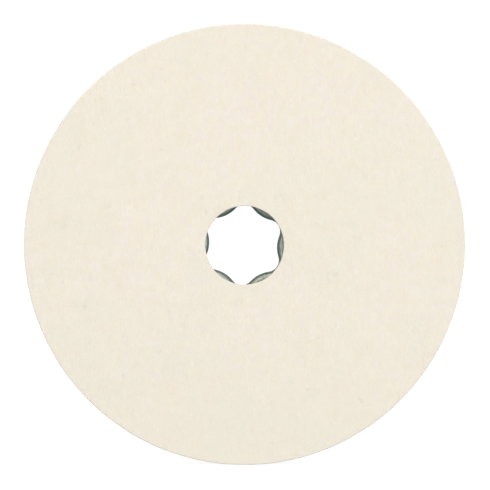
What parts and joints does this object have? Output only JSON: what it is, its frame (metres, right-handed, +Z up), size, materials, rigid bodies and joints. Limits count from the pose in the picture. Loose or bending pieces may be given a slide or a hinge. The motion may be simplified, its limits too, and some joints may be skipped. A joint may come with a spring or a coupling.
{
  "type": "felt polishing wheel",
  "caption": "Flat pressed-felt polishing wheel on a thin fibre backing, with a riveted sheet-steel quick-change mount that has a six-lobed opening.",
  "frame": {"origin": "on the wheel's axis, in the plane where the rear face of the backing plate sits on the grinder's backing pad", "axes": "+Y along the wheel's axis, out of the rear towards the grinder, so the felt faces -Y; +Z up with the wheel standing on its rim; +X to the right seen from the felt side"},
  "size_m": [0.125, 0.0158, 0.125],
  "materials": {
    "wool_felt": "matte",
    "bond": "satin",
    "vulcanised_fibre": "satin",
    "zinc_steel": "satin",
    "rivet_steel": "satin"
  },
  "bodies": {
    "root": {"felt_pad": "wool_felt", "felt_adhesive": "bond", "clamp_ring": "zinc_steel", "backing_plate": "vulcanised_fibre", "lobed_mount": "zinc_steel", "rivet_1": "rivet_steel", "rivet_2": "rivet_steel", "rivet_3": "rivet_steel", "rivet_4": "rivet_steel", "rivet_5": "rivet_steel", "rivet_6": "rivet_steel"}
  },
  "joints": []
}
